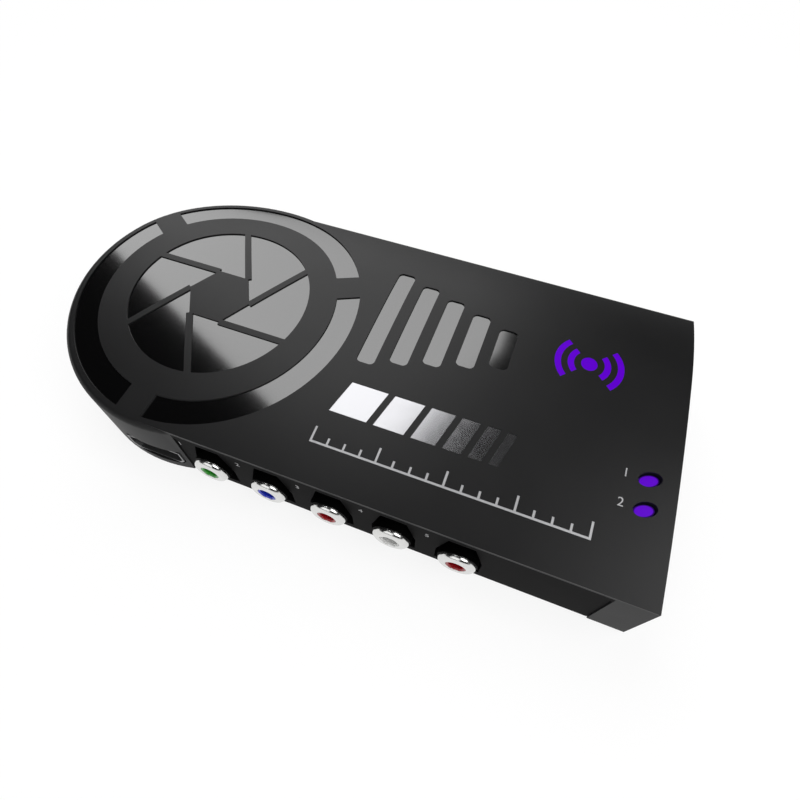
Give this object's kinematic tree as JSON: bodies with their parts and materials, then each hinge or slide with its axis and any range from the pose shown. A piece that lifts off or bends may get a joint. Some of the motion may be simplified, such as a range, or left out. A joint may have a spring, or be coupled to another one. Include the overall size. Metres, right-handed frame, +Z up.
{
  "type": "video capture box",
  "caption": "Low desktop box with one round end and a crowned roof: phono jacks along the front, digital video sockets on the round end.",
  "frame": {"origin": "centre of the bounding box in plan, on the surface that the feet stand on", "axes": "+X along the case from the round end to the square end, +Y from the jack side to the back, +Z up"},
  "size_m": [0.1528, 0.0776, 0.0242],
  "materials": {
    "cover_plastic": "satin, very fine moulded grain",
    "base_plastic": "fine moulded grain",
    "panel_plastic": "fine moulded grain",
    "gloss_black": "piano gloss",
    "chrome": "polished",
    "silver_foil": "satin foil",
    "violet_lens": "translucent moulded lens, lit from below",
    "rubber": "matte",
    "screw_steel": "zinc plated",
    "socket_black": "moulded",
    "nickel": "satin nickel plating",
    "insulator_green": "moulded",
    "insulator_blue": "moulded",
    "insulator_red": "moulded",
    "insulator_white": "moulded",
    "contact_brass": "plated",
    "board_laminate": "solder mask",
    "chip_resin": "moulded resin",
    "can_metal": "drawn can",
    "led_resin": "clear resin"
  },
  "bodies": {
    "root": {"top_cover": "cover_plastic", "floor_plate": "base_plastic", "jack_panel": "panel_plastic", "ring_inlay": "gloss_black", "shutter_inlay": "gloss_black", "bar_inlay": "gloss_black", "chrome_bars": "chrome", "silver_scale": "silver_foil", "symbol_guide": "violet_lens", "indicator_light_pipe": "violet_lens", "rubber_feet": "rubber", "case_screws": "screw_steel", "jack_body_green": "socket_black", "jack_shell_green": "nickel", "jack_insulator_green": "insulator_green", "jack_contact_green": "contact_brass", "jack_body_blue": "socket_black", "jack_shell_blue": "nickel", "jack_insulator_blue": "insulator_blue", "jack_contact_blue": "contact_brass", "jack_body_red_video": "socket_black", "jack_shell_red_video": "nickel", "jack_insulator_red_video": "insulator_red", "jack_contact_red_video": "contact_brass", "jack_body_white": "socket_black", "jack_shell_white": "nickel", "jack_insulator_white": "insulator_white", "jack_contact_white": "contact_brass", "jack_body_red_audio": "socket_black", "jack_shell_red_audio": "nickel", "jack_insulator_red_audio": "insulator_red", "jack_contact_red_audio": "contact_brass", "video_input_shell": "nickel", "video_input_tongue": "socket_black", "video_output_shell": "nickel", "video_output_tongue": "socket_black", "data_socket_shell": "nickel", "data_socket_tongue": "socket_black", "main_board": "board_laminate", "board_screws": "screw_steel", "encoder_chip": "chip_resin", "receiver_chip": "chip_resin", "bridge_chip": "chip_resin", "memory_chips": "chip_resin", "crystal": "can_metal", "capacitors": "can_metal", "inductors": "chip_resin", "indicator_leds": "led_resin", "symbol_leds": "led_resin"}
  },
  "joints": []
}
